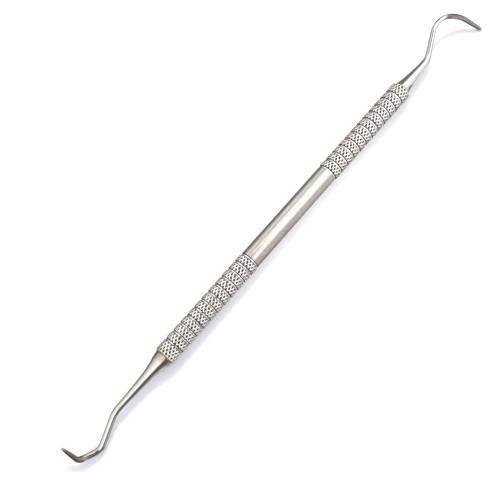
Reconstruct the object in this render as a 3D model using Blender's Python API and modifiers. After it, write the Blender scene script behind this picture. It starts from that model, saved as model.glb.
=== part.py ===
"""Double-ended dental hand instrument: a knurled, hollow handle with a curved and an angled working end.

Metres, +Z up. The handle's axis runs along X, lying on the table plane z = 0, with the curved sickle end
at +X and the angled end at -X. Both working ends lie in one plane through the handle's axis, the sickle's
blade pointing towards -Y and the angled end's towards +Y. The whole instrument is rolled so that this
plane's -Y side is low and the sickle's toe hangs just clear of the table.
"""
import math

import bmesh
import bpy

# ---- handle -------------------------------------------------------------------------------------------
HANDLE_LENGTH = 0.100
KNURL_RADIUS = 0.0030            # crest radius of the two gripping sections
WAIST_RADIUS = 0.00285           # smooth middle stretch
WAIST_LENGTH = 0.0330
GROOVE_COUNT = 12                # ring grooves in each gripping section
GROOVE_PITCH = 0.00272
GROOVE_WIDTH = 0.0009            # over the tops of its sloping walls
GROOVE_FLOOR = 0.00045           # width of its flat floor
GROOVE_DEPTH = 0.00022
END_CHAMFER = 0.0002
BORE_RADIUS = 0.0018             # the handle is a tube, which keeps the instrument light
BORE_CHAMFER = 0.0002
HANDLE_SIDES = 24                # an even count, turned so that one flat faces straight down

# ---- joint between the handle and each working end ------------------------------------------------------
TANG_RADIUS = 0.00175
TANG_LENGTH = 0.0090
TANG_CHAMFER = 0.0003
JOINT_GAP = 0.00004              # capillary gap that the braze fills
SHOULDER_HEIGHT = 0.0005         # short cylinder that stands on the handle's end face
BRAZE_RADIUS = 0.00274
BRAZE_HEIGHT = 0.00032
BRAZE_LAND = 0.00004             # flat left along the fillet's two thin edges
BRAZE_ARC_STEPS = 4
BRAZE_SIDES = 24

# ---- working ends ---------------------------------------------------------------------------------------
# Each path starts on the handle's end face. A bend is an angle in degrees (left positive) and a radius.
SICKLE_PATH = (
    ("straight", 0.01075),
    ("bend", 30.5, 0.0070),
    ("straight", 0.00635),
    ("bend", -62.0, 0.0071),
    ("bend", -39.0, 0.0104),
    ("straight", 0.0052),
)
ANGLED_PATH = (
    ("straight", 0.0171),
    ("bend", 22.5, 0.0080),
    ("straight", 0.0067),
    ("bend", -47.0, 0.0036),
    ("straight", 0.0034),
    ("bend", -63.0, 0.0015),
    ("straight", 0.0046),
)
# Shank diameter against distance from the handle, thinning from the flare to the wire.
SICKLE_DIAMETERS = (
    (0.0005, 0.00480), (0.0035, 0.00362), (0.0075, 0.00272), (0.0115, 0.00216),
    (0.0150, 0.00162), (0.0220, 0.00150), (0.0300, 0.00142),
)
ANGLED_DIAMETERS = (
    (0.0005, 0.00500), (0.0018, 0.00462), (0.0038, 0.00365), (0.0075, 0.00266), (0.0115, 0.00220),
    (0.0170, 0.00182), (0.0240, 0.00168), (0.0295, 0.00172), (0.0330, 0.00158), (0.0350, 0.00125),
)
SICKLE_BLADE_LENGTH = 0.0118
ANGLED_BLADE_LENGTH = 0.0066
SICKLE_TOE = 0.60                # size of the blade near its toe, against its heel
ANGLED_TOE = 0.44
BLADE_TAPER_POWER = 2.2          # above 1 the blade keeps its size at the heel and thins towards the toe
TOE_RADIUS = 0.0005              # length over which the toe rounds off
TOE_END = 0.25                   # size of the toe's last flat, against the blade there
BLADE_BLEND = 0.0018             # length over which the round wire turns into the ground blade
FACE_WIDTH = 0.80                # blade face, against the wire's diameter
FLANK_WIDTH = 0.86               # width over the flanks' outer edges
FLANK_POSITION = 0.06            # where the flank turns into the back bevel, from the middle of the blade
BLADE_DEPTH = 1.04               # face to back ridge
SECTION_POINTS = 30
TOE_STATIONS = 5
BEND_STEP = math.radians(3)
STRAIGHT_STEP = 0.0011

# ---- the whole instrument ---------------------------------------------------------------------------------
ROLL = math.radians(26.2)
AXIS_HEIGHT = KNURL_RADIUS * math.cos(math.pi / HANDLE_SIDES)
MERGE_DISTANCE = 1e-6            # far below the smallest step in a turned profile
SHARP_ANGLE = math.radians(35)

# ---- materials: colour and roughness ----------------------------------------------------------------------
KNURLED_STEEL = ((0.62, 0.61, 0.59), 0.28)
POLISHED_STEEL = ((0.66, 0.65, 0.64), 0.14)
TEMPERED_STEEL = ((0.58, 0.54, 0.50), 0.18)
BRAZE_FILLER = ((0.66, 0.50, 0.30), 0.35)


def clear_scene():
    for thing in list(bpy.data.objects):
        bpy.data.objects.remove(thing, do_unlink=True)


def make_metal(name, finish):
    color, roughness = finish
    material = bpy.data.materials.new(name)
    material.use_nodes = True
    shader = material.node_tree.nodes["Principled BSDF"]
    shader.inputs["Base Color"].default_value = (*color, 1.0)
    shader.inputs["Roughness"].default_value = roughness
    shader.inputs["Metallic"].default_value = 1.0
    material.diffuse_color = (*color, 1.0)
    return material


def link_object(name, data, collection, material):
    part = bpy.data.objects.new(name, data)
    collection.objects.link(part)
    data.materials.append(material)
    return part


# ---- turned pieces --------------------------------------------------------------------------------------
def turned_piece(name, profile, sides, collection, material):
    """A closed (radius, height) profile spun round local Z, then laid down so that local Z is world X."""
    mesh = bpy.data.meshes.new(name)
    points = [(radius, 0.0, height) for radius, height in profile]
    edges = [(i, (i + 1) % len(points)) for i in range(len(points))]
    mesh.from_pydata(points, edges, [])
    part = link_object(name, mesh, collection, material)
    screw = part.modifiers.new("turn", "SCREW")
    screw.axis = "Z"
    screw.angle = math.tau
    screw.steps = sides
    screw.render_steps = sides
    screw.use_merge_vertices = True
    screw.merge_threshold = MERGE_DISTANCE
    screw.use_smooth_shade = True
    part.rotation_mode = "ZYX"
    part.rotation_euler = (0.0, math.pi / 2, math.pi / sides)
    return part


def groove_heights():
    first = WAIST_LENGTH / 2
    upper = [first + i * GROOVE_PITCH for i in range(GROOVE_COUNT)]
    return upper[::-1], [-height for height in upper]


def groove_notch(height, above, below):
    """Four profile points of one flat-floored groove, running downwards between two radii."""
    half, half_floor = GROOVE_WIDTH / 2, GROOVE_FLOOR / 2
    floor = KNURL_RADIUS - GROOVE_DEPTH
    upper_wall = [(above, height + half), (floor, height + half_floor)]
    return upper_wall + [(floor, height - half_floor), (below, height - half)]


def handle_profile():
    half = HANDLE_LENGTH / 2
    upper, lower = groove_heights()
    points = [(KNURL_RADIUS - END_CHAMFER, half), (KNURL_RADIUS, half - END_CHAMFER)]
    for height in upper[:-1]:
        points += groove_notch(height, KNURL_RADIUS, KNURL_RADIUS)
    points += groove_notch(upper[-1], KNURL_RADIUS, WAIST_RADIUS)
    points += groove_notch(lower[0], WAIST_RADIUS, KNURL_RADIUS)
    for height in lower[1:]:
        points += groove_notch(height, KNURL_RADIUS, KNURL_RADIUS)
    points += [(KNURL_RADIUS, END_CHAMFER - half), (KNURL_RADIUS - END_CHAMFER, -half)]
    mouth = BORE_RADIUS + BORE_CHAMFER
    points += [(mouth, -half), (BORE_RADIUS, BORE_CHAMFER - half)]
    points += [(BORE_RADIUS, half - BORE_CHAMFER), (mouth, half)]
    return points


def make_handle(collection):
    steel = make_metal("knurled_steel", KNURLED_STEEL)
    handle = turned_piece("handle_barrel", handle_profile(), HANDLE_SIDES, collection, steel)
    handle.location = (0.0, 0.0, AXIS_HEIGHT)
    return handle


def braze_profile(shoulder_radius):
    """A meniscus ring: flat against the handle's end face, its fillet hollowed towards the shank."""
    inner = shoulder_radius + JOINT_GAP
    across = BRAZE_RADIUS - inner - BRAZE_LAND
    down = BRAZE_HEIGHT - JOINT_GAP - BRAZE_LAND
    points = []
    for step in range(BRAZE_ARC_STEPS + 1):
        angle = math.pi / 2 * step / BRAZE_ARC_STEPS
        points.append((BRAZE_RADIUS - across * math.cos(angle), BRAZE_HEIGHT - down * math.sin(angle)))
    points += [(BRAZE_RADIUS, JOINT_GAP), (inner, JOINT_GAP), (inner, BRAZE_HEIGHT)]
    return points


def make_braze(name, side, shoulder_diameter, collection, material):
    profile = braze_profile(shoulder_diameter / 2)
    ring = turned_piece(name, profile, BRAZE_SIDES, collection, material)
    ring.location = (side * HANDLE_LENGTH / 2, 0.0, AXIS_HEIGHT)
    ring.rotation_euler[1] = side * math.pi / 2
    return ring


# ---- working ends ---------------------------------------------------------------------------------------
def split_toe(path):
    """Cuts the last straight leg so that the rounded toe gets stations of its own."""
    kind, length = path[-1]
    pieces = [(kind, length - TOE_RADIUS)] + [(kind, TOE_RADIUS / TOE_STATIONS)] * TOE_STATIONS
    return list(path[:-1]) + pieces


def walk(path):
    """Stations along a plane path: (distance, x, y, heading)."""
    distance, x, y, heading = 0.0, 0.0, 0.0, 0.0
    stations = [(distance, x, y, heading)]
    for leg in split_toe(path):
        if leg[0] == "straight":
            count = max(1, math.ceil(leg[1] / STRAIGHT_STEP))
            turn, stride, chord = 0.0, leg[1] / count, leg[1] / count
        else:
            count = max(2, math.ceil(abs(math.radians(leg[1])) / BEND_STEP))
            turn = math.radians(leg[1]) / count
            stride = abs(turn) * leg[2]
            chord = 2 * leg[2] * math.sin(abs(turn) / 2)
        for _ in range(count):
            x += chord * math.cos(heading + turn / 2)
            y += chord * math.sin(heading + turn / 2)
            heading += turn
            distance += stride
            stations.append((distance, x, y, heading))
    return stations


def tapered(table, distance):
    """Smooth monotone reading of a (distance, value) table, flat beyond its ends."""
    if distance <= table[0][0]:
        return table[0][1]
    if distance >= table[-1][0]:
        return table[-1][1]
    slopes = [(b[1] - a[1]) / (b[0] - a[0]) for a, b in zip(table, table[1:])]
    tangents = [slopes[0]] + [min(a, b, key=abs) for a, b in zip(slopes, slopes[1:])] + [0.0]
    index = max(i for i in range(len(slopes)) if table[i][0] <= distance)
    (x0, y0), (x1, y1) = table[index], table[index + 1]
    span = x1 - x0
    t = (distance - x0) / span
    start = (1 + 2 * t) * (1 - t) ** 2 * y0 + t * (1 - t) ** 2 * span * tangents[index]
    end = t * t * (3 - 2 * t) * y1 + t * t * (t - 1) * span * tangents[index + 1]
    return start + end


def blade_outline():
    """Five-sided blade section for a unit diameter: back ridge at +y, face at -y, the flanks between."""
    back = (0.0, BLADE_DEPTH / 2)
    shoulder = (FLANK_WIDTH / 2, FLANK_POSITION)
    face = (FACE_WIDTH / 2, -BLADE_DEPTH / 2)
    corners = [back, shoulder, face, (-face[0], face[1]), (-shoulder[0], shoulder[1])]
    per_side = SECTION_POINTS // len(corners)
    outline = []
    for index, corner in enumerate(corners):
        following = corners[(index + 1) % len(corners)]
        for k in range(per_side):
            t = k / per_side
            outline.append(tuple(a + t * (b - a) for a, b in zip(corner, following)))
    return outline


def round_outline():
    angles = [math.tau * i / SECTION_POINTS for i in range(SECTION_POINTS)]
    return [(math.sin(angle) / 2, math.cos(angle) / 2) for angle in angles]


def smoothstep(value):
    value = min(1.0, max(0.0, value))
    return value * value * (3 - 2 * value)


def toe_rounding(to_go):
    """1 along the blade, falling on a quarter ellipse over the last stretch before the toe."""
    t = 1 - min(1.0, max(0.0, to_go / TOE_RADIUS))
    return TOE_END + (1 - TOE_END) * math.sqrt(1 - t * t)


def section_ring(mesh, station, diameter, blend):
    """One ring of vertices: the section's width stands along local Z, its depth across the path."""
    _, x, y, heading = station
    across = (-math.sin(heading), math.cos(heading))
    ring = []
    for flat, circle in zip(blade_outline(), round_outline()):
        width = diameter * (circle[0] + blend * (flat[0] - circle[0]))
        depth = diameter * (circle[1] + blend * (flat[1] - circle[1]))
        ring.append(mesh.verts.new((x + across[0] * depth, y + across[1] * depth, width)))
    return ring


def tang_rings(mesh, shoulder_diameter):
    """Tang inside the bore, then the shoulder that stands a joint gap off the handle's end face."""
    steps = (
        (-TANG_LENGTH, TANG_RADIUS - TANG_CHAMFER),
        (TANG_CHAMFER - TANG_LENGTH, TANG_RADIUS),
        (JOINT_GAP, TANG_RADIUS),
        (JOINT_GAP, shoulder_diameter / 2),
    )
    return [section_ring(mesh, (0.0, x, 0.0, 0.0), 2 * radius, 0.0) for x, radius in steps]


def make_tip(name, path, diameters, blade, collection, material):
    """One-piece working end: tang, shoulder, flare, bent shank and ground blade, lofted along its path."""
    mesh = bmesh.new()
    rings = tang_rings(mesh, diameters[0][1])
    stations = walk(path)
    length = stations[-1][0]
    blade_length, toe = blade
    heel = length - blade_length
    for station in stations:
        distance = station[0]
        if distance < SHOULDER_HEIGHT:
            continue
        diameter = tapered(diameters, distance)
        along = max(0.0, (distance - heel) / blade_length)
        diameter *= 1 - (1 - toe) * along ** BLADE_TAPER_POWER
        diameter *= toe_rounding(length - distance)
        blend = smoothstep((distance - heel + BLADE_BLEND / 2) / BLADE_BLEND)
        rings.append(section_ring(mesh, station, diameter, blend))
    for first, second in zip(rings, rings[1:]):
        for i in range(SECTION_POINTS):
            j = (i + 1) % SECTION_POINTS
            mesh.faces.new((first[i], first[j], second[j], second[i]))
    mesh.faces.new(rings[0])
    mesh.faces.new(rings[-1])
    bmesh.ops.recalc_face_normals(mesh, faces=mesh.faces)
    data = bpy.data.meshes.new(name)
    mesh.to_mesh(data)
    mesh.free()
    data.shade_smooth()
    data.set_sharp_from_angle(angle=SHARP_ANGLE)
    return link_object(name, data, collection, material)


def place_tip(tip, side):
    """Moves a working end to the handle's end face (+1 or -1), rolled with the instrument."""
    tip.rotation_mode = "ZYX"
    tip.location = (side * HANDLE_LENGTH / 2, 0.0, AXIS_HEIGHT)
    tip.rotation_euler = (ROLL, 0.0, 0.0 if side > 0 else math.pi)


def main():
    clear_scene()
    instrument = bpy.data.collections.new("dental_explorer")
    bpy.context.scene.collection.children.link(instrument)

    make_handle(instrument)

    polished = make_metal("polished_steel", POLISHED_STEEL)
    sickle_blade = (SICKLE_BLADE_LENGTH, SICKLE_TOE)
    sickle = make_tip("sickle_tip", SICKLE_PATH, SICKLE_DIAMETERS, sickle_blade, instrument, polished)
    place_tip(sickle, 1)

    tempered = make_metal("tempered_steel", TEMPERED_STEEL)
    angled_blade = (ANGLED_BLADE_LENGTH, ANGLED_TOE)
    angled = make_tip("angled_tip", ANGLED_PATH, ANGLED_DIAMETERS, angled_blade, instrument, tempered)
    place_tip(angled, -1)

    braze = make_metal("braze_filler", BRAZE_FILLER)
    make_braze("sickle_braze_ring", 1, SICKLE_DIAMETERS[0][1], instrument, braze)
    make_braze("angled_braze_ring", -1, ANGLED_DIAMETERS[0][1], instrument, braze.copy())


main()
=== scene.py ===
"""Looks of the dental explorer: finely knurled handle, polished working ends, pale table and studio light.

Metres, in the CAD frame: the handle's axis runs along X at half the handle's height, +X is the sickle end.
"""
import math
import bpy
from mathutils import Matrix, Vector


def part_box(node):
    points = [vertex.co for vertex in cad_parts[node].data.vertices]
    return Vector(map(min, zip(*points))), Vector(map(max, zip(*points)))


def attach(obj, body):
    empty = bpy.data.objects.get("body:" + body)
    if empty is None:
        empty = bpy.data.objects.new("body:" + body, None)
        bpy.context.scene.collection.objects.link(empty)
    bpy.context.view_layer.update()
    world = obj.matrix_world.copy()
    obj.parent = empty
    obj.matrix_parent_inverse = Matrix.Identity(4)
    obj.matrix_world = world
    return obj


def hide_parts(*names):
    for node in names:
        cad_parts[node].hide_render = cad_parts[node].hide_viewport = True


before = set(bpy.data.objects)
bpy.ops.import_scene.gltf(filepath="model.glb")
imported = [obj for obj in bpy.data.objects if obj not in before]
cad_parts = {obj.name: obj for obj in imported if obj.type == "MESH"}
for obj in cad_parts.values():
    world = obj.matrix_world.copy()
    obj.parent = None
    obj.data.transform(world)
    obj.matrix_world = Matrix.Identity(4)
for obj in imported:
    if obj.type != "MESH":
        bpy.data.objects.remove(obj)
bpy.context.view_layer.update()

from types import SimpleNamespace

import bmesh
import bpy
import numpy as np
from mathutils import Matrix, Vector

# ---- sizes taken from the frame -----------------------------------------------------------------------
HANDLE_LOW, HANDLE_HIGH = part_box("handle_barrel")
HANDLE_LENGTH = HANDLE_HIGH.x - HANDLE_LOW.x
AXIS_HEIGHT = (HANDLE_HIGH.z + HANDLE_LOW.z) / 2
CREST_RADIUS = (HANDLE_HIGH.z - HANDLE_LOW.z) / 2

# ---- handle, as in the CAD source ---------------------------------------------------------------------
WAIST_RADIUS = 0.00285
WAIST_LENGTH = 0.0330
GROOVE_COUNT = 12
GROOVE_PITCH = 0.00272
GROOVE_WIDTH = 0.0009            # over the tops of its sloping walls
GROOVE_FLOOR = 0.00045
GROOVE_DEPTH = 0.00022
END_CHAMFER = 0.0002
BORE_RADIUS = 0.0018
BORE_CHAMFER = 0.0002

# ---- knurling: two crossing families of helical ridges with a pit between each four crossings ---------
KNURL_STARTS = 17                # ridges of one family that meet a ring round the handle
KNURL_PERIOD = 0.001661          # distance along the handle from one ridge of a family to its next
KNURL_DEPTH = 0.00034
KNURL_PHASE_ANGLED = (-0.45, -0.15)    # of the rising and the falling family, in periods
KNURL_PHASE_SICKLE = (0.0, -0.50)
SAMPLES_AROUND = 10              # vertices from ridge to ridge round the handle
SAMPLES_ALONG = 10
GROOVE_ROWS = (-1.0, -0.83, -0.67, -0.5, 0.0, 0.5, 0.67, 0.83, 1.0)    # in halves of a groove's width
WAIST_ROWS = 24
ROW_MERGE = 0.00004              # a row this near to one of a groove or an end is left out
KNURL_SHARP_ANGLE = math.radians(40)

# ---- working ends, as in the CAD source ---------------------------------------------------------------
# Each path starts on the handle's end face. A bend is an angle in degrees (left positive) and a radius.
ROLL = math.radians(26.2)
TANG_RADIUS = 0.00175
TANG_LENGTH = 0.0090
TANG_CHAMFER = 0.0003
JOINT_GAP = 0.00004
SHOULDER_HEIGHT = 0.0005
SICKLE_PATH = (
    ("straight", 0.01075),
    ("bend", 30.5, 0.0070),
    ("straight", 0.00635),
    ("bend", -62.0, 0.0071),
    ("bend", -39.0, 0.0104),
    ("straight", 0.0052),
)
ANGLED_PATH = (
    ("straight", 0.0171),
    ("bend", 22.5, 0.0080),
    ("straight", 0.0067),
    ("bend", -47.0, 0.0036),
    ("straight", 0.0034),
    ("bend", -63.0, 0.0015),
    ("straight", 0.0046),
)
# Shank diameter against distance from the handle.
SICKLE_DIAMETERS = (
    (0.0005, 0.00480), (0.0035, 0.00362), (0.0075, 0.00272), (0.0115, 0.00216),
    (0.0150, 0.00162), (0.0220, 0.00150), (0.0300, 0.00142),
)
ANGLED_DIAMETERS = (
    (0.0005, 0.00500), (0.0018, 0.00462), (0.0038, 0.00365), (0.0075, 0.00266), (0.0115, 0.00220),
    (0.0170, 0.00182), (0.0240, 0.00168), (0.0295, 0.00172), (0.0330, 0.00158), (0.0350, 0.00125),
)
SICKLE_BLADE = (0.0118, 0.60)     # length, and size near the toe against the heel
ANGLED_BLADE = (0.0066, 0.44)
BLADE_TAPER_POWER = 2.2
TOE_RADIUS = 0.0005
TOE_END = 0.25                    # size of the toe's last flat, against the blade there
TOE_SHORT = 0.00001               # how far the toe stops short of the CAD's, to stay inside its box
BLADE_BLEND = 0.0018              # length over which the round wire turns into the ground blade
FACE_WIDTH = 0.80                 # the section's widths and depth are shares of the wire's diameter
FLANK_WIDTH = 0.86
FLANK_POSITION = 0.06
BLADE_DEPTH = 1.04
SECTION_POINTS = 60
TOE_STATIONS = 12
BEND_STEP = math.radians(3)
STRAIGHT_STEP = 0.00025
INSIDE_CAD = 0.985               # the finer surface bulges past the CAD's facets without this
SHARP_ANGLE = math.radians(28)

BRAZE_RADIUS = 0.00274
BRAZE_HEIGHT = 0.00032
BRAZE_LAND = 0.00003
BRAZE_ARC_STEPS = 8
BRAZE_SIDES = 96
BRAZE_SPREAD = 0.95              # the fillet's mean size against the CAD's, outwards and along the shank
BRAZE_RISE = 0.93
BRAZE_SWELL = (3, 0.05)          # waves round the rim, and their size against the fillet's
BRAZE_RIPPLE = (7, 0.03)
BRAZE_SHARP_ANGLE = math.radians(50)

# ---- materials ----------------------------------------------------------------------------------------
# Colours are linear. A noise is its scale per metre, detail and roughness. A ramp is where it starts and
# ends, then the values there, 0 and 1 unless it says others.
HANDLE_COLOR = (0.46, 0.448, 0.425)
WEAR_AND_HIGHLIGHT_COLOR = (0.78, 0.78, 0.76)          # ridges rubbed bright and painted brighter as highlight, groove floors painted bright as highlight
SMUDGE_COLOR = (0.31, 0.26, 0.225)
PIT_COLOR = (0.10, 0.07, 0.05)
RUST_COLOR = (0.36, 0.24, 0.19)
# colours of the dirt and painted shade in the knurl's pits and of the painted shade in the grooves
DIRT_AND_SHADE_COLORS = ((0.016, 0.014, 0.012), (0.07, 0.062, 0.053))
DIRT_AND_SHADE_ROUGHNESS = 0.55
DIRT_AND_SHADE_PATCHES = (0.25, 0.6, 0.85, 1.0)
PATCH_NOISE = (420.0, 3.0)
BLOTCH_NOISE = (1500.0, 4.0, 0.6)
MOTTLE_NOISE = (650.0, 2.0)
MOTTLE = (0.22, 0.10)                    # strength on the waist and on the grips
SMUDGE_RAMP = (0.45, 0.72, 0.0, 0.7)
PIT_NOISE = (2300.0, 1.0)
PIT_RAMP = (0.715, 0.74)
PIT_PATCHES = (0.48, 0.56)
RAGGEDNESS = 0.35                        # how far blotches shift the two ramps of depth that follow
DIRT_AND_SHADE_DEPTH = (0.28, 0.60)               # share of the knurling's depth where the pits' dirt and painted shade start and are full
# share of the knurling's depth where the ridges' wear and painted highlight start and are full
WEAR_AND_HIGHLIGHT_DEPTH = (0.22, 0.02)
# strength of the painted highlight on the ring grooves' floors
FLOOR_HIGHLIGHT = 0.8
FLOOR_EDGE = (0.42 * GROOVE_WIDTH, 0.26 * GROOVE_WIDTH)    # from the middle of a groove
SHADED_WALL = (0.00030, 0.00017, 0.00007)    # painted shade on each groove's wall facing -X: place in the groove, and how near it the shade starts and is full
# painted shade in each groove's corner at the foot of the wall facing +X, listed as above, then its
# strength
SHADED_CORNER = (-0.00023, 0.00012, 0.00004)
SHADED_CORNER_STRENGTH = 0.7
CLEAN_RIM = (0.9 * END_CHAMFER, 1.4 * END_CHAMFER)
DULL_RIM = (1.3 * END_CHAMFER, 0.9 * END_CHAMFER)
DULL_RIM_ROUGHNESS = 0.6
WAIST_ROUGHNESS = (0.3, 0.7, 0.12, 0.20)
GRIP_ROUGHNESS = (0.3, 0.7, 0.10, 0.20)
RUST_REACH = (0.0022, 0.0004)            # distance from the angled end where rust fades out and is full
RUST_WANDER = 0.004
RUST_SIDE = (-0.0002, 0.0010)            # along Y, where it starts and is full
RUST_BLOTCHES = (0.35, 0.6, 0.2, 0.75)
# Stretched noise: steps per metre along the handle, per radian round it, layer, scale, detail, roughness.
STREAKS = (130.0, 7.0, 5.0, 1.0, 4.0, 0.65)
SMEARS = (300.0, 1.0, 0.0, 3.0, 4.0, 0.6)
LATHE_LINES = (26000.0, 1.5, 0.0, 1.0, 2.0)
SCRATCHES = (500.0, 160.0, 3.0, 1.0, 2.0)
SCRATCH_SHARE = 0.6
LATHE_HEIGHT = 0.0000012
GRIT_HEIGHT = 0.00002
# Working ends. The ground finish of the blade starts at blade_from, and length is the whole path's.
POLISHED_WIRE = {
    "color": (0.46, 0.45, 0.44), "heel_color": (0.200, 0.158, 0.168), "blade_color": (0.205, 0.203, 0.20),
    "toe_color": (0.18, 0.178, 0.176), "stain_color": (0.40, 0.38, 0.36),
    "blade_from": 0.0273, "length": 0.0408,
}
TEMPERED_WIRE = {
    "color": (0.47, 0.46, 0.43), "heel_color": (0.205, 0.152, 0.13), "blade_color": (0.205, 0.152, 0.13),
    "toe_color": (0.42, 0.40, 0.39), "stain_color": (0.27, 0.20, 0.15),
    "blade_from": 0.0325, "length": 0.0395,
}
WIRE_SHADE = 0.93                        # the wire's second tone against its first
WIRE_SHADE_RAMP = (0.3, 0.7, 0.0, 0.5)
GRINDING_DUST = (0.03, 0.028, 0.026)
DUST_RAMP = (0.35, 0.65, 0.0, 0.35)
WIRE_PATCH_NOISE = (500.0, 3.0)
WIRE_GRAIN_NOISE = (2600.0, 4.0, 0.6)
WIRE_WANDER = 0.0012                     # how raggedly the wire's zones end
BLADE_START = (-0.0006, 0.0010)          # from blade_from
HEEL_END = (0.0035, 0.0055)
TOE_START = (-0.0013, -0.0002)           # from the path's end
STAIN_REACH = (0.0030, 0.0004)           # from the handle, where it fades out and is full
STAIN_RAMP = (0.3, 0.65, 0.25, 0.8)
STAIN_ROUGHNESS = 0.36
POLISHED_ROUGHNESS = (0.3, 0.7, 0.05, 0.11)
GROUND_ROUGHNESS = (0.3, 0.7, 0.26, 0.40)
POLISHING_AROUND = 22.0
POLISHING_ALONG = 260.0
GRINDING_ALONG = 16000.0
POLISHING_HEIGHT = 0.0000010
GRINDING_HEIGHT = 0.000003
BRAZE_COLORS = ((0.40, 0.32, 0.22), (0.16, 0.12, 0.085))
BRAZE_GRAIN_NOISE = (6000.0, 4.0, 0.6)
BRAZE_GRAIN_HEIGHT = 0.000015
BRAZE_ROUGHNESS = (0.3, 0.7, 0.30, 0.50)
FLUX_NOISE = (1400.0, 3.0)
FLUX_RAMP = (0.35, 0.65)
TABLE_COLORS = ((0.81, 0.81, 0.825), (0.83, 0.83, 0.84))
TABLE_GRAIN_NOISE = (900.0, 4.0, 0.6)
TABLE_GRAIN_HEIGHT = 0.00002
TABLE_ROUGHNESS = 0.85
TABLE_SHINE = 0.2

# ---- camera and light ---------------------------------------------------------------------------------
CAMERA_PLACE = Vector((-0.05576, -0.03389, 0.19413))
CAMERA_TURN = (math.radians(16.03), 0.0, math.radians(-49.42))
CAMERA_LENS = 53.38
CAMERA_SENSOR = 36.0
CAMERA_NEAR = 0.001
TABLE_HALF = 1.5
TABLE_CELLS = 8
TABLE_DROP = 0.00001
ROOM_LEVEL = 1.07                # even light of the room on the table
ROOM_COLOR = (0.952, 0.947, 1.0)
SKY_COLOR = (1.0, 0.99, 0.975)
# What polished steel sees of the room: brightness against the angle in degrees from straight up towards +Y,
# on the side of each working end, then softboxes and dark things over that.
SKY_PEAK = 3.0
SKY_SICKLE_SIDE = (
    (-150, 0.35), (-122, 0.55), (-100, 0.95), (-75, 1.12), (-63, 0.92), (-52, 1.30), (-40, 2.30),
    (-25, 2.70), (14, 2.60), (25, 1.80), (35, 1.25), (47, 1.45), (60, 1.75), (74, 1.15), (86, 0.58),
    (106, 0.30), (150, 0.42),
)
SKY_ANGLED_SIDE = (
    (-150, 0.60), (-125, 0.50), (-100, 0.36), (-72, 0.20), (-43, 0.16), (-34, 1.50), (-26, 2.20),
    (0, 2.20), (25, 1.85), (45, 1.55), (62, 1.35), (78, 0.95), (96, 0.48), (120, 0.20), (150, 0.20),
)
SKY_CHANGE = (0.0, 13.0)         # angle towards +X over which one table gives way to the other
# Centre and half size along X and Y in degrees, the turn of the long side, softness of the rim, brightness.
SKY_PANELS = (
    ((62, 62), (30, 36), 0, 0.35, 0.36),       # dim corner of the room
    ((3.5, -8), (7.8, 28), -5, 0.10, 0.01),    # camera
    ((50, -62), (18, 26), 0, 0.35, 1.70),      # pale wall
    ((-62, -62), (18, 32), 0, 0.35, 2.40),     # pale wall behind the camera
    ((-45, -125), (26, 24), 0, 0.30, 1.20),    # foot of that wall
    ((100, 20), (30, 26), 0, 0.30, 0.40),      # dark end wall
    ((94, -56), (24, 28), 0, 0.30, 0.35),      # corner beside that wall
    ((-92, 10), (26, 60), 0, 0.30, 0.12),      # dark end wall behind the camera
)
PANEL_SQUARENESS = 3.0           # 2 would make the panels ellipses
LEAST_TILT = 0.0001              # keeps the sky's angles from a division by 0 straight up
# Name, direction, distance, size, power, and whether it casts shadows.
LAMPS = (
    ("key", (0.489, 0.418, 0.766), 0.6, 0.16, 2.1, True),
    ("fill", (0.30, 0.0, 0.95), 0.068, 0.04, 0.019, False),
)


# ---- pieces -------------------------------------------------------------------------------------------
def place_piece(name, mesh, matrix, sharp_angle, material):
    """An object whose mesh is already in the frame's coordinates, shaded smooth but for its real edges."""
    mesh.transform(matrix)
    mesh.shade_smooth()
    mesh.set_sharp_from_angle(angle=sharp_angle)
    mesh.materials.append(material)
    piece = bpy.data.objects.new(name, mesh)
    bpy.context.scene.collection.objects.link(piece)
    return piece


def from_bmesh(name, mesh):
    bmesh.ops.recalc_face_normals(mesh, faces=mesh.faces)
    data = bpy.data.meshes.new(name)
    mesh.to_mesh(data)
    mesh.free()
    return data


# ---- handle -------------------------------------------------------------------------------------------
def groove_centres():
    """Places of the ring grooves along the handle, both sections."""
    one_side = [WAIST_LENGTH / 2 + i * GROOVE_PITCH for i in range(GROOVE_COUNT)]
    return sorted([-x for x in one_side] + one_side)


def handle_rows():
    """Where rings of vertices stand along the handle: at grooves and ends, then on the knurling's grid."""
    half = HANDLE_LENGTH / 2
    rows = [-half, half]
    for inset in (END_CHAMFER / 2, END_CHAMFER):
        rows += [inset - half, half - inset]
    grooves = np.array(groove_centres())
    for centre in grooves:
        rows += [centre + share * GROOVE_WIDTH / 2 for share in GROOVE_ROWS]
    start = WAIST_LENGTH / 2
    reach = math.ceil(half / KNURL_PERIOD) * SAMPLES_ALONG
    grid = np.arange(-reach, reach) / SAMPLES_ALONG
    angled, sickle = [
        KNURL_PERIOD * (grid - sum(phase) / 2) for phase in (KNURL_PHASE_ANGLED, KNURL_PHASE_SICKLE)
    ]
    angled = angled[(angled < -start) & (angled > -half)]
    sickle = sickle[(sickle > start) & (sickle < half)]
    waist = np.linspace(-start + GROOVE_WIDTH, start - GROOVE_WIDTH, WAIST_ROWS)
    fixed = np.array(rows)
    for place in [*angled, *sickle, *waist]:
        in_groove = abs(place - grooves).min() < GROOVE_WIDTH / 2
        if not in_groove and abs(place - fixed).min() > ROW_MERGE:
            rows.append(float(place))
    return np.array(sorted(rows))


def ridge_distance(phase):
    """0 on a ridge, 1 midway between two ridges, rounded at both."""
    return np.sin(math.pi * phase) ** 2


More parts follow.
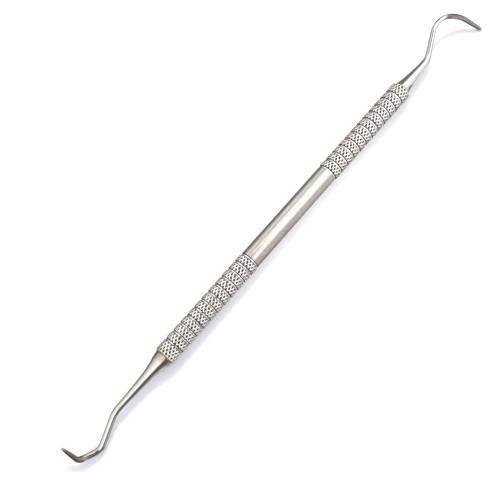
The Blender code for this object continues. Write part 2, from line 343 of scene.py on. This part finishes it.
def knurled_radius(x, angle):
    """Outer radius of the handle at a place along it and an angle round it."""
    around = KNURL_STARTS * angle / math.tau
    first = np.where(x > 0, KNURL_PHASE_SICKLE[0], KNURL_PHASE_ANGLED[0])
    second = np.where(x > 0, KNURL_PHASE_SICKLE[1], KNURL_PHASE_ANGLED[1])
    rising = ridge_distance(x / KNURL_PERIOD + around + first)
    falling = ridge_distance(x / KNURL_PERIOD - around + second)
    radius = CREST_RADIUS - KNURL_DEPTH * np.minimum(rising, falling)
    to_groove = np.min([abs(x - centre) for centre in groove_centres()], axis=0)
    wall = (GROOVE_WIDTH / 2 - to_groove) / (GROOVE_WIDTH / 2 - GROOVE_FLOOR / 2)
    groove = CREST_RADIUS - GROOVE_DEPTH * np.clip(wall, 0, 1)
    on_waist = abs(x) < WAIST_LENGTH / 2
    radius = np.where(on_waist, np.minimum(groove, WAIST_RADIUS), np.minimum(radius, groove))
    to_end = HANDLE_LENGTH / 2 - abs(x)
    return np.minimum(radius, CREST_RADIUS - END_CHAMFER + to_end)


def grid_faces(rings, columns, falling):
    """Triangles of a grid that closes round its columns; falling picks the diagonal that cuts each cell."""
    row, column = np.meshgrid(np.arange(rings - 1), np.arange(columns), indexing="ij")
    next_column = (column + 1) % columns
    corner, beside = row * columns + column, row * columns + next_column
    above, opposite = (row + 1) * columns + column, (row + 1) * columns + next_column
    falling_cut = np.stack([
        np.stack([corner, opposite, beside], -1),
        np.stack([corner, above, opposite], -1),
    ], -2)
    rising_cut = np.stack([
        np.stack([corner, above, beside], -1),
        np.stack([beside, above, opposite], -1),
    ], -2)
    return np.where(falling[..., None, None], falling_cut, rising_cut).reshape(-1, 3)


def falling_fits_better(rows, angles, radius):
    """For each cell of the handle's skin, whether its falling diagonal lies nearer to the true surface."""
    middles = np.meshgrid((rows[:-1] + rows[1:]) / 2, angles + math.pi / len(angles), indexing="ij")
    true_middle = knurled_radius(*middles)
    beside = np.roll(radius, -1, axis=1)
    falling_error = abs((radius[:-1] + beside[1:]) / 2 - true_middle)
    rising_error = abs((beside[:-1] + radius[1:]) / 2 - true_middle)
    return falling_error < rising_error


def make_handle(material):
    """Knurled tube in one closed skin: fine rings outside, then four rings back through the bore."""
    rows = handle_rows()
    columns = KNURL_STARTS * SAMPLES_AROUND
    angles = math.tau * (np.arange(columns) + 0.5) / columns
    place, angle = np.meshgrid(rows, angles, indexing="ij")
    radius = knurled_radius(place, angle)
    outer_faces = grid_faces(len(rows), columns, falling_fits_better(rows, angles, radius))

    half = HANDLE_LENGTH / 2
    mouth = BORE_RADIUS + BORE_CHAMFER
    throat = half - BORE_CHAMFER
    bore = [(half, mouth), (throat, BORE_RADIUS), (-throat, BORE_RADIUS), (-half, mouth)]
    place = np.concatenate([place] + [np.full((1, columns), x) for x, _ in bore])
    radius = np.concatenate([radius] + [np.full((1, columns), r) for _, r in bore])
    angle = np.concatenate([angle] + [angles[None]] * len(bore))
    points = np.stack([place, radius * np.sin(angle), radius * np.cos(angle)], -1).reshape(-1, 3)

    bore_faces = grid_faces(len(bore) + 1, columns, np.zeros((len(bore), columns), bool))
    bore_faces += (len(rows) - 1) * columns
    closing = grid_faces(2, columns, np.zeros((1, columns), bool))
    last_ring = (len(rows) + len(bore) - 1) * columns
    closing = np.where(closing < columns, closing + last_ring, closing - columns)
    faces = np.concatenate([outer_faces, bore_faces, closing])

    mesh = bpy.data.meshes.new("handle_knurled")
    mesh.from_pydata(points.tolist(), [], faces.tolist())
    matrix = Matrix.Translation((0, 0, AXIS_HEIGHT))
    return place_piece("handle_knurled", mesh, matrix, KNURL_SHARP_ANGLE, material)


# ---- working ends -------------------------------------------------------------------------------------
def end_place(side):
    """Takes a piece from its own axis, +X pointing out of the handle, to the handle's end on one side."""
    return Matrix.Translation((side * HANDLE_LENGTH / 2, 0, AXIS_HEIGHT)) @ Matrix.Rotation(
        0.0 if side > 0 else math.pi, 4, "Z"
    )


def split_toe(path):
    """Gives the rounded toe stations of its own, and stops it a hair short."""
    kind, length = path[-1]
    pieces = [(kind, length - TOE_RADIUS - TOE_SHORT)] + [(kind, TOE_RADIUS / TOE_STATIONS)] * TOE_STATIONS
    return list(path[:-1]) + pieces


def walk(path):
    """Stations along a plane path: (distance, x, y, heading)."""
    distance, x, y, heading = 0.0, 0.0, 0.0, 0.0
    stations = [(distance, x, y, heading)]
    for leg in split_toe(path):
        if leg[0] == "straight":
            count = max(1, math.ceil(leg[1] / STRAIGHT_STEP))
            turn, stride, chord = 0.0, leg[1] / count, leg[1] / count
        else:
            count = max(2, math.ceil(abs(math.radians(leg[1])) / BEND_STEP))
            turn = math.radians(leg[1]) / count
            stride = abs(turn) * leg[2]
            chord = 2 * leg[2] * math.sin(abs(turn) / 2)
        for _ in range(count):
            x += chord * math.cos(heading + turn / 2)
            y += chord * math.sin(heading + turn / 2)
            heading += turn
            distance += stride
            stations.append((distance, x, y, heading))
    return stations


def tapered(table, distance):
    """Smooth monotone reading of a (distance, value) table, flat beyond its ends."""
    if distance <= table[0][0]:
        return table[0][1]
    if distance >= table[-1][0]:
        return table[-1][1]
    slopes = [(b[1] - a[1]) / (b[0] - a[0]) for a, b in zip(table, table[1:])]
    tangents = [slopes[0]] + [min(a, b, key=abs) for a, b in zip(slopes, slopes[1:])] + [0.0]
    index = max(i for i in range(len(slopes)) if table[i][0] <= distance)
    (x0, y0), (x1, y1) = table[index], table[index + 1]
    span = x1 - x0
    t = (distance - x0) / span
    start = (1 + 2 * t) * (1 - t) ** 2 * y0 + t * (1 - t) ** 2 * span * tangents[index]
    end = t * t * (3 - 2 * t) * y1 + t * t * (t - 1) * span * tangents[index + 1]
    return start + end


def blade_outline():
    """Five-sided blade section for a unit diameter: back ridge at +y, face at -y, the flanks between."""
    back = (0.0, BLADE_DEPTH / 2)
    shoulder = (FLANK_WIDTH / 2, FLANK_POSITION)
    face = (FACE_WIDTH / 2, -BLADE_DEPTH / 2)
    corners = [back, shoulder, face, (-face[0], face[1]), (-shoulder[0], shoulder[1])]
    per_side = SECTION_POINTS // len(corners)
    outline = []
    for index, corner in enumerate(corners):
        following = corners[(index + 1) % len(corners)]
        for k in range(per_side):
            t = k / per_side
            outline.append(tuple(a + t * (b - a) for a, b in zip(corner, following)))
    return outline


def round_outline():
    angles = [math.tau * i / SECTION_POINTS for i in range(SECTION_POINTS)]
    return [(math.sin(angle) / 2, math.cos(angle) / 2) for angle in angles]


def smoothstep(value):
    value = min(1.0, max(0.0, value))
    return value * value * (3 - 2 * value)


def toe_rounding(to_go):
    """1 along the blade, falling on a quarter ellipse over the last stretch before the toe."""
    t = 1 - min(1.0, max(0.0, to_go / TOE_RADIUS))
    return TOE_END + (1 - TOE_END) * math.sqrt(1 - t * t)


def section_ring(mesh, station, diameter, blend):
    """One ring of vertices: the section's width stands along local Z, its depth across the path."""
    _, x, y, heading = station
    across = (-math.sin(heading), math.cos(heading))
    ring = []
    for flat, circle in zip(blade_outline(), round_outline()):
        width = diameter * (circle[0] + blend * (flat[0] - circle[0]))
        depth = diameter * (circle[1] + blend * (flat[1] - circle[1]))
        ring.append(mesh.verts.new((x + across[0] * depth, y + across[1] * depth, width)))
    return ring


def tang_rings(mesh, shoulder_diameter):
    """Tang inside the bore, then the shoulder that stands a joint gap off the handle's end face."""
    steps = (
        (-TANG_LENGTH, TANG_RADIUS - TANG_CHAMFER),
        (TANG_CHAMFER - TANG_LENGTH, TANG_RADIUS),
        (JOINT_GAP, TANG_RADIUS),
        (JOINT_GAP, shoulder_diameter / 2),
    )
    return [section_ring(mesh, (0.0, x, 0.0, 0.0), 2 * radius, 0.0) for x, radius in steps]


def make_tip(name, side, path, diameters, blade, material):
    """One-piece working end: tang, shoulder, flare, bent shank and ground blade, lofted along its path."""
    mesh = bmesh.new()
    rings = tang_rings(mesh, diameters[0][1])
    reaches = [0.0] * len(rings)
    stations = walk(path)
    length = stations[-1][0]
    blade_length, toe = blade
    heel = length - blade_length
    for station in stations:
        distance = station[0]
        if distance < SHOULDER_HEIGHT:
            continue
        diameter = tapered(diameters, distance)
        along = max(0.0, (distance - heel) / blade_length)
        diameter *= 1 - (1 - toe) * along ** BLADE_TAPER_POWER
        diameter *= toe_rounding(length - distance) * INSIDE_CAD
        blend = smoothstep((distance - heel + BLADE_BLEND / 2) / BLADE_BLEND)
        rings.append(section_ring(mesh, station, diameter, blend))
        reaches.append(distance)
    for first, second in zip(rings, rings[1:]):
        for i in range(SECTION_POINTS):
            j = (i + 1) % SECTION_POINTS
            mesh.faces.new((first[i], first[j], second[j], second[i]))
    mesh.faces.new(rings[0])
    mesh.faces.new(rings[-1])
    matrix = end_place(side) @ Matrix.Rotation(ROLL if side > 0 else -ROLL, 4, "X")
    data = from_bmesh(name, mesh)
    turns = [i / SECTION_POINTS for i in range(SECTION_POINTS)] * len(rings)
    for key, values in (("reach", np.repeat(reaches, SECTION_POINTS)), ("turn", turns)):
        data.attributes.new(key, "FLOAT", "POINT").data.foreach_set("value", values)
    return place_piece(name, data, matrix, SHARP_ANGLE, material)


# ---- braze fillets ------------------------------------------------------------------------------------
def fillet_arc():
    """Hollow quarter round as shares of the fillet's size, from its top on the shank to its rim."""
    angles = [math.pi / 2 * step / BRAZE_ARC_STEPS for step in range(BRAZE_ARC_STEPS + 1)]
    return [(1 - math.cos(angle), 1 - math.sin(angle)) for angle in angles]


def make_braze(name, side, shoulder_diameter, material):
    """A meniscus ring between the handle's end face and the shoulder, slightly uneven round its rim."""
    inner = shoulder_diameter / 2 + JOINT_GAP
    foot, base = inner + BRAZE_LAND, JOINT_GAP + BRAZE_LAND
    mesh = bmesh.new()
    columns = []
    for k in range(BRAZE_SIDES):
        turn = math.tau * k / BRAZE_SIDES
        swell = BRAZE_SWELL[1] * math.sin(BRAZE_SWELL[0] * turn + side)
        uneven = 1 + swell + BRAZE_RIPPLE[1] * math.sin(BRAZE_RIPPLE[0] * turn)
        rim = foot + (BRAZE_RADIUS - foot) * min(1.0, BRAZE_SPREAD * uneven)
        top = BRAZE_HEIGHT * min(1.0, BRAZE_RISE * uneven)
        points = [(foot + out * (rim - foot), base + up * (top - base)) for out, up in fillet_arc()]
        points += [(rim, JOINT_GAP), (inner, JOINT_GAP), (inner, top)]
        columns.append([mesh.verts.new((x, r * math.sin(turn), r * math.cos(turn))) for r, x in points])
    for first, second in zip(columns, columns[1:] + columns[:1]):
        for i in range(len(first)):
            j = (i + 1) % len(first)
            mesh.faces.new((first[i], first[j], second[j], second[i]))
    return place_piece(name, from_bmesh(name, mesh), end_place(side), BRAZE_SHARP_ANGLE, material)


# ---- node helpers -------------------------------------------------------------------------------------
class Tree:
    """A node tree with short ways to add nodes; values may be numbers, tuples or outputs."""

    def __init__(self, tree):
        self.nodes, self.links = tree.nodes, tree.links

    def feed(self, socket, value):
        if isinstance(value, bpy.types.NodeSocket):
            self.links.new(value, socket)
        elif value is not None:
            socket.default_value = value

    def math(self, operation, *values, clamp=False):
        node = self.nodes.new("ShaderNodeMath")
        node.operation = operation
        node.use_clamp = clamp
        for socket, value in zip(node.inputs, values):
            self.feed(socket, value if isinstance(value, bpy.types.NodeSocket) else float(value))
        return node.outputs[0]

    def ramp(self, value, low, high, to_low=0.0, to_high=1.0, smooth=True):
        """Straight or S-shaped passage from to_low to to_high while value goes from low to high."""
        node = self.nodes.new("ShaderNodeMapRange")
        node.interpolation_type = "SMOOTHSTEP" if smooth else "LINEAR"
        for name, given in (("Value", value), ("From Min", low), ("From Max", high)):
            self.feed(node.inputs[name], given)
        self.feed(node.inputs["To Min"], to_low)
        self.feed(node.inputs["To Max"], to_high)
        return node.outputs[0]

    def mix(self, factor, a, b, kind="FLOAT", blend="MIX"):
        node = self.nodes.new("ShaderNodeMix")
        node.data_type = kind
        if kind == "RGBA":
            node.blend_type = blend
        index = {"FLOAT": (2, 3, 0), "RGBA": (6, 7, 2)}[kind]
        self.feed(node.inputs[0], factor)
        self.feed(node.inputs[index[0]], a)
        self.feed(node.inputs[index[1]], b)
        return node.outputs[index[2]]

    def tint(self, factor, a, b, blend="MIX"):
        """Mixes two colours, each an output or three numbers."""
        a, b = [(*color, 1.0) if isinstance(color, tuple) else color for color in (a, b)]
        return self.mix(factor, a, b, "RGBA", blend)

    def vector(self, x, y, z):
        node = self.nodes.new("ShaderNodeCombineXYZ")
        for socket, value in zip(node.inputs, (x, y, z)):
            self.feed(socket, value)
        return node.outputs[0]

    def noise(self, where, scale, detail=3.0, roughness=0.5, output="Fac"):
        node = self.nodes.new("ShaderNodeTexNoise")
        self.feed(node.inputs["Vector"], where)
        for name, value in (("Scale", scale), ("Detail", detail), ("Roughness", roughness)):
            self.feed(node.inputs[name], value)
        return node.outputs[output]

    def stops(self, value, table, peak):
        """Reads a table of (place, level) with a colour ramp between its first and last place."""
        first, last = table[0][0], table[-1][0]
        node = self.nodes.new("ShaderNodeValToRGB")
        node.color_ramp.interpolation = "LINEAR"
        elements = node.color_ramp.elements
        while len(elements) < len(table):
            elements.new(0.5)
        for element, (place, level) in zip(elements, table):
            element.position = (place - first) / (last - first)
            element.color = (level / peak, level / peak, level / peak, 1.0)
        self.feed(node.inputs["Fac"], self.ramp(value, float(first), float(last), smooth=False))
        return self.math("MULTIPLY", node.outputs["Color"], peak)

    def bump(self, height, distance, strength=1.0, normal=None):
        node = self.nodes.new("ShaderNodeBump")
        self.feed(node.inputs["Height"], height)
        self.feed(node.inputs["Distance"], distance)
        self.feed(node.inputs["Strength"], strength)
        if normal is not None:
            self.feed(node.inputs["Normal"], normal)
        return node.outputs["Normal"]


def new_material(name):
    material = bpy.data.materials.new(name)
    material.use_nodes = True
    return material, Tree(material.node_tree), material.node_tree.nodes["Principled BSDF"]


def object_place(tree):
    """Place on the piece in the frame's metres, whole and split."""
    place = tree.nodes.new("ShaderNodeTexCoord").outputs["Object"]
    split = tree.nodes.new("ShaderNodeSeparateXYZ")
    tree.feed(split.inputs[0], place)
    return place, split.outputs


# ---- materials ----------------------------------------------------------------------------------------
def wall_dirt(tree, across, wall, full=1.0):
    """Painted shade along one wall of every ring groove."""
    place, faded, packed = wall
    return tree.ramp(tree.math("ABSOLUTE", tree.math("SUBTRACT", across, place)), faded, packed, 0.0, full)


def groove_marks(tree, x, from_middle):
    """1 on the ring grooves' floors, then painted shade along their walls facing -X and in the corners at
    the foot of the other walls.
    """
    from_start = tree.math("SUBTRACT", from_middle, WAIST_LENGTH / 2)
    grooved = tree.math("LESS_THAN", from_start, (GROOVE_COUNT - 0.5) * GROOVE_PITCH)
    to_groove = tree.math("PINGPONG", from_start, GROOVE_PITCH / 2)
    floor = tree.math("MULTIPLY", tree.ramp(to_groove, *FLOOR_EDGE), grooved)
    turns = tree.math("DIVIDE", from_start, GROOVE_PITCH)
    across = tree.math("MULTIPLY", tree.math("SUBTRACT", turns, tree.math("ROUND", turns)), GROOVE_PITCH)
    across = tree.math("MULTIPLY", across, tree.math("SIGN", x))
    shaded_wall = tree.math("MULTIPLY", wall_dirt(tree, across, SHADED_WALL), grooved)
    return floor, shaded_wall, wall_dirt(tree, across, SHADED_CORNER, SHADED_CORNER_STRENGTH)


def handle_marks(tree):
    """What the handle's colour, roughness and relief share: places on it, blotches, and where grime and
    painted shade lie.
    """
    marks = SimpleNamespace()
    marks.spot, (marks.x, marks.y, z) = object_place(tree)
    height = tree.math("SUBTRACT", z, AXIS_HEIGHT)
    marks.turn = tree.math("ARCTAN2", marks.y, height)
    squares = tree.math("ADD", tree.math("POWER", marks.y, 2.0), tree.math("POWER", height, 2.0))
    below_crest = tree.math("SUBTRACT", CREST_RADIUS, tree.math("SQRT", squares))
    depth = tree.math("DIVIDE", below_crest, KNURL_DEPTH)
    from_middle = tree.math("ABSOLUTE", marks.x)
    marks.to_end = tree.math("SUBTRACT", HANDLE_LENGTH / 2, from_middle)
    marks.on_grip = tree.math("GREATER_THAN", from_middle, WAIST_LENGTH / 2 - GROOVE_WIDTH / 2)
    marks.on_floor, shaded_wall, shaded_corner = groove_marks(tree, marks.x, from_middle)

    marks.patches = tree.noise(marks.spot, *PATCH_NOISE)
    marks.blotches = tree.noise(marks.spot, *BLOTCH_NOISE)
    shift = tree.math("MULTIPLY", tree.math("SUBTRACT", marks.blotches, 0.5), RAGGEDNESS)
    marks.ragged_depth = tree.math("ADD", depth, shift)
    # the knurl's pits darkened by dirt and painted shade, the deepest darkest
    pits = tree.math("MULTIPLY", tree.ramp(marks.ragged_depth, *DIRT_AND_SHADE_DEPTH),
                     tree.ramp(marks.patches, *DIRT_AND_SHADE_PATCHES))
    pits = tree.math("MULTIPLY", pits, tree.ramp(marks.to_end, *CLEAN_RIM))
    # painted shade on the grooves' walls and corners joins the pits' darkening
    dirt = tree.math("MAXIMUM", tree.mix(marks.on_floor, pits, shaded_corner), shaded_wall)
    marks.dirt = tree.math("MULTIPLY", dirt, marks.on_grip)
    return marks


def handle_noise(tree, marks, along, around, layer, *settings):
    """Noise stretched along the handle or round it."""
    along_it = tree.math("MULTIPLY", marks.x, along)
    around_it = tree.math("MULTIPLY", marks.turn, around)
    return tree.noise(tree.vector(along_it, around_it, layer), *settings)


def handle_color(tree, marks):
    """Mottled steel: smudges on the waist, a few pits, ridges lightened by wear and painted highlight, rust
    by the angled end, grime and painted shade in the knurl's pits and painted shade in the grooves.
    """
    mottle = tree.noise(marks.spot, *MOTTLE_NOISE, output="Color")
    clean = tree.tint(tree.mix(marks.on_grip, *MOTTLE), HANDLE_COLOR, mottle, "OVERLAY")

    smudges = tree.ramp(handle_noise(tree, marks, *STREAKS), *SMUDGE_RAMP)
    smudges = tree.math("MULTIPLY", smudges, tree.math("SUBTRACT", 1.0, marks.on_grip))
    clean = tree.tint(smudges, clean, SMUDGE_COLOR)

    pits = tree.ramp(tree.noise(marks.spot, *PIT_NOISE), *PIT_RAMP)
    pits = tree.math("MULTIPLY", pits, tree.ramp(marks.patches, *PIT_PATCHES))
    clean = tree.tint(pits, clean, PIT_COLOR)

    # ridges lightened by wear and painted highlight, the grooves' floors by painted highlight
    ridges = tree.ramp(marks.ragged_depth, *WEAR_AND_HIGHLIGHT_DEPTH)
    ridges = tree.math("MULTIPLY", ridges, tree.math("SUBTRACT", 1.0, marks.on_floor))
    wear_and_highlight = tree.math("MAXIMUM", ridges, tree.math("MULTIPLY", marks.on_floor, FLOOR_HIGHLIGHT))
    clean = tree.tint(tree.math("MULTIPLY", wear_and_highlight, marks.on_grip), clean, WEAR_AND_HIGHLIGHT_COLOR)

    wander = tree.math("MULTIPLY", tree.math("SUBTRACT", marks.patches, 0.5), RUST_WANDER)
    rust = tree.math("MULTIPLY", tree.ramp(tree.math("ADD", marks.to_end, wander), *RUST_REACH),
                     tree.ramp(marks.blotches, *RUST_BLOTCHES))
    rust = tree.math("MULTIPLY", rust, tree.ramp(marks.y, *RUST_SIDE))
    rust = tree.math("MULTIPLY", rust, tree.math("LESS_THAN", marks.x, 0.0))
    clean = tree.tint(rust, clean, RUST_COLOR)
    # dirt and painted shade over the knurl's pits, painted shade over the grooves
    return tree.tint(marks.dirt, clean, tree.tint(marks.blotches, *DIRT_AND_SHADE_COLORS))


def handle_roughness(tree, marks):
    """Smeared polish on the waist, rolled steel on the grips, dull rims, and duller where grime and painted
    shade lie.
    """
    polish = tree.ramp(handle_noise(tree, marks, *SMEARS), *WAIST_ROUGHNESS)
    rolled = tree.ramp(marks.blotches, *GRIP_ROUGHNESS)
    steel = tree.mix(marks.on_grip, polish, rolled)
    steel = tree.mix(tree.ramp(marks.to_end, *DULL_RIM), steel, DULL_RIM_ROUGHNESS)
    return tree.mix(marks.dirt, steel, DIRT_AND_SHADE_ROUGHNESS)


def handle_relief(tree, marks):
    """Lathe lines and scratches all over, and grit on the grips."""
    scratches = tree.math("MULTIPLY", handle_noise(tree, marks, *SCRATCHES), SCRATCH_SHARE)
    lines = tree.bump(tree.math("ADD", handle_noise(tree, marks, *LATHE_LINES), scratches), LATHE_HEIGHT)
    return tree.bump(marks.blotches, tree.mix(marks.on_grip, 0.0, GRIT_HEIGHT), normal=lines)


def knurled_steel():
    """Turned stainless steel: ridges lightened by wear and painted highlight, pits dark with grime and
    painted shade, groove walls and corners with painted shade.
    """
    material, tree, shader = new_material("knurled_steel")
    marks = handle_marks(tree)
    tree.feed(shader.inputs["Base Color"], handle_color(tree, marks))
    tree.feed(shader.inputs["Roughness"], handle_roughness(tree, marks))
    tree.feed(shader.inputs["Normal"], handle_relief(tree, marks))
    tree.feed(shader.inputs["Metallic"], 1.0)
    return material


def wire_marks(tree):
    """Distance from the handle and turn round the wire, as each vertex holds them."""
    outputs = []
    for key in ("reach", "turn"):
        node = tree.nodes.new("ShaderNodeAttribute")
        node.attribute_name = key
        outputs.append(node.outputs["Fac"])
    return outputs


def wire_noises(tree, reach, turn):
    """Polishing marks that run along the wire, and grinding marks that run round it."""
    angle = tree.math("MULTIPLY", turn, math.tau)
    cosine, sine = tree.math("COSINE", angle), tree.math("SINE", angle)
    around = [tree.math("MULTIPLY", part, POLISHING_AROUND) for part in (cosine, sine)]
    polishing = tree.vector(*around, tree.math("MULTIPLY", reach, POLISHING_ALONG))
    grinding = tree.vector(cosine, sine, tree.math("MULTIPLY", reach, GRINDING_ALONG))
    return tree.noise(polishing, 1.0), tree.noise(grinding, 1.0)


def wire_steel(name, color, heel_color, blade_color, toe_color, stain_color, blade_from, length):
    """Polished wire: marks along it, a brown stain by the joint, and a duller blade ground crosswise."""
    material, tree, shader = new_material(name)
    spot, _ = object_place(tree)
    reach, turn = wire_marks(tree)
    patches = tree.noise(spot, *WIRE_PATCH_NOISE)
    grain = tree.noise(spot, *WIRE_GRAIN_NOISE)
    polishing, grinding = wire_noises(tree, reach, turn)
    wander = tree.math("MULTIPLY", tree.math("SUBTRACT", patches, 0.5), WIRE_WANDER)
    ragged = tree.math("ADD", reach, wander)
    on_blade = tree.ramp(ragged, *[blade_from + distance for distance in BLADE_START])
    past_heel = tree.ramp(ragged, *[blade_from + distance for distance in HEEL_END])
    on_toe = tree.ramp(ragged, *[length + distance for distance in TOE_START])

    shade = tuple(channel * WIRE_SHADE for channel in color)
    clean = tree.tint(tree.ramp(patches, *WIRE_SHADE_RAMP), color, shade)
    stain = tree.math("MULTIPLY", tree.ramp(ragged, *STAIN_REACH), tree.ramp(grain, *STAIN_RAMP))
    clean = tree.tint(stain, clean, stain_color)
    ground = tree.tint(past_heel, heel_color, blade_color)
    ground = tree.tint(tree.ramp(grain, *DUST_RAMP), ground, GRINDING_DUST)
    ground = tree.tint(on_toe, ground, toe_color)
    tree.feed(shader.inputs["Base Color"], tree.tint(on_blade, clean, ground))

    polished = tree.ramp(polishing, *POLISHED_ROUGHNESS)
    finish = tree.mix(on_blade, polished, tree.ramp(grinding, *GROUND_ROUGHNESS))
    tree.feed(shader.inputs["Roughness"], tree.mix(stain, finish, STAIN_ROUGHNESS))
    height = tree.mix(on_blade, POLISHING_HEIGHT, GRINDING_HEIGHT)
    tree.feed(shader.inputs["Normal"], tree.bump(tree.mix(on_blade, polishing, grinding), height))
    tree.feed(shader.inputs["Metallic"], 1.0)
    return material


def braze_metal():
    """Filler metal, dull and slightly pitted, darkened by flux."""
    material, tree, shader = new_material("braze_filler")
    spot, _ = object_place(tree)
    grains = tree.noise(spot, *BRAZE_GRAIN_NOISE)
    flux = tree.ramp(tree.noise(spot, *FLUX_NOISE), *FLUX_RAMP)
    tree.feed(shader.inputs["Base Color"], tree.tint(flux, *BRAZE_COLORS))
    tree.feed(shader.inputs["Roughness"], tree.ramp(grains, *BRAZE_ROUGHNESS))
    tree.feed(shader.inputs["Normal"], tree.bump(grains, BRAZE_GRAIN_HEIGHT))
    tree.feed(shader.inputs["Metallic"], 1.0)
    return material


def table_laminate():
    """Matt white laminate with the faintest mottle."""
    material, tree, shader = new_material("table_white")
    spot, _ = object_place(tree)
    mottle = tree.noise(spot, *TABLE_GRAIN_NOISE)
    tree.feed(shader.inputs["Base Color"], tree.tint(mottle, *TABLE_COLORS))
    tree.feed(shader.inputs["Roughness"], TABLE_ROUGHNESS)
    tree.feed(shader.inputs["Specular IOR Level"], TABLE_SHINE)
    tree.feed(shader.inputs["Normal"], tree.bump(mottle, TABLE_GRAIN_HEIGHT))
    return material


# ---- stage --------------------------------------------------------------------------------------------
def make_camera():
    data = bpy.data.cameras.new("camera")
    data.lens = CAMERA_LENS
    data.sensor_width = CAMERA_SENSOR
    data.sensor_fit = "HORIZONTAL"
    data.clip_start = CAMERA_NEAR
    camera = bpy.data.objects.new("camera", data)
    camera.location = CAMERA_PLACE
    camera.rotation_euler = CAMERA_TURN
    bpy.context.scene.collection.objects.link(camera)
    bpy.context.scene.camera = camera


def make_table():
    """The table lights the instrument by the sky's lower half, so reflections don't see this plane."""
    mesh = bmesh.new()
    bmesh.ops.create_grid(mesh, x_segments=TABLE_CELLS, y_segments=TABLE_CELLS, size=TABLE_HALF)
    data = bpy.data.meshes.new("table")
    mesh.to_mesh(data)
    mesh.free()
    data.materials.append(table_laminate())
    table = bpy.data.objects.new("table", data)
    table.location = (0.0, 0.0, -TABLE_DROP)
    table.visible_glossy = False
    bpy.context.scene.collection.objects.link(table)


def make_lamp(name, direction, distance, size, power, shadows):
    data = bpy.data.lights.new(name, "AREA")
    data.shape = "DISK"
    data.size = size
    data.energy = power
    data.use_shadow = shadows
    lamp = bpy.data.objects.new(name, data)
    way = Vector(direction).normalized()
    lamp.location = way * distance
    lamp.rotation_euler = way.to_track_quat("Z", "Y").to_euler()
    lamp.visible_glossy = False
    bpy.context.scene.collection.objects.link(lamp)


def sky_angles(tree):
    """Angle from straight up, split along X and along Y, in degrees: the sky unrolled round its top."""
    split = tree.nodes.new("ShaderNodeSeparateXYZ")
    tree.feed(split.inputs[0], tree.nodes.new("ShaderNodeTexCoord").outputs["Generated"])
    x, y, z = split.outputs
    squares = tree.math("ADD", tree.math("MULTIPLY", x, x), tree.math("MULTIPLY", y, y))
    across = tree.math("MAXIMUM", tree.math("SQRT", squares), LEAST_TILT)
    degrees = tree.math("MULTIPLY", tree.math("ARCCOSINE", z), math.degrees(1))
    share = tree.math("DIVIDE", degrees, across)
    return tree.math("MULTIPLY", share, x), tree.math("MULTIPLY", share, y)


def panel_weight(tree, sky, centre, half_size, turn, softness):
    """1 inside a rounded rectangle of sky, 0 outside it."""
    x, y = [tree.math("SUBTRACT", angle, middle) for angle, middle in zip(sky, centre)]
    cosine, sine = math.cos(math.radians(turn)), math.sin(math.radians(turn))
    along = tree.math("ADD", tree.math("MULTIPLY", x, cosine), tree.math("MULTIPLY", y, sine))
    across = tree.math("SUBTRACT", tree.math("MULTIPLY", y, cosine), tree.math("MULTIPLY", x, sine))
    powers = [
        tree.math("POWER", tree.math("ABSOLUTE", tree.math("DIVIDE", value, half)), PANEL_SQUARENESS)
        for value, half in zip((along, across), half_size)
    ]
    reach = tree.math("POWER", tree.math("ADD", *powers), 1 / PANEL_SQUARENESS)
    return tree.ramp(reach, 1 - softness, 1 + softness, 1.0, 0.0)


def make_world():
    """Reflections see softboxes and dark edges of a room; the table sees that room's even light."""
    world = bpy.data.worlds.new("studio")
    world.use_nodes = True
    bpy.context.scene.world = world
    tree = Tree(world.node_tree)
    sky = sky_angles(tree)
    sides = [tree.stops(sky[1], table, SKY_PEAK) for table in (SKY_ANGLED_SIDE, SKY_SICKLE_SIDE)]
    level = tree.mix(tree.ramp(sky[0], *SKY_CHANGE), *sides)
    for centre, half_size, turn, softness, value in SKY_PANELS:
        level = tree.mix(panel_weight(tree, sky, centre, half_size, turn, softness), level, value)
    glossy = tree.nodes.new("ShaderNodeLightPath").outputs["Is Glossy Ray"]
    background = world.node_tree.nodes["Background"]
    tree.feed(background.inputs["Strength"], tree.mix(glossy, ROOM_LEVEL, level))
    tree.feed(background.inputs["Color"], tree.tint(glossy, ROOM_COLOR, SKY_COLOR))


def main():
    make_camera()
    handle = make_handle(knurled_steel())
    polished = wire_steel("polished_steel", **POLISHED_WIRE)
    tempered = wire_steel("tempered_steel", **TEMPERED_WIRE)
    sickle = make_tip("sickle_end", 1, SICKLE_PATH, SICKLE_DIAMETERS, SICKLE_BLADE, polished)
    angled = make_tip("angled_end", -1, ANGLED_PATH, ANGLED_DIAMETERS, ANGLED_BLADE, tempered)
    braze = braze_metal()
    sickle_ring = make_braze("sickle_braze", 1, SICKLE_DIAMETERS[0][1], braze)
    angled_ring = make_braze("angled_braze", -1, ANGLED_DIAMETERS[0][1], braze)
    for piece, node, slot in (
        (handle, "handle_barrel", "knurled_steel"),
        (sickle, "sickle_tip", "polished_steel"),
        (angled, "angled_tip", "tempered_steel"),
        (sickle_ring, "sickle_braze_ring", "braze_filler"),
        (angled_ring, "angled_braze_ring", "braze_filler"),
    ):
        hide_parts(node)
        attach(piece, "root")
    make_table()
    make_world()
    for lamp in LAMPS:
        make_lamp(*lamp)
    bpy.context.scene.view_settings.view_transform = "Standard"


main()
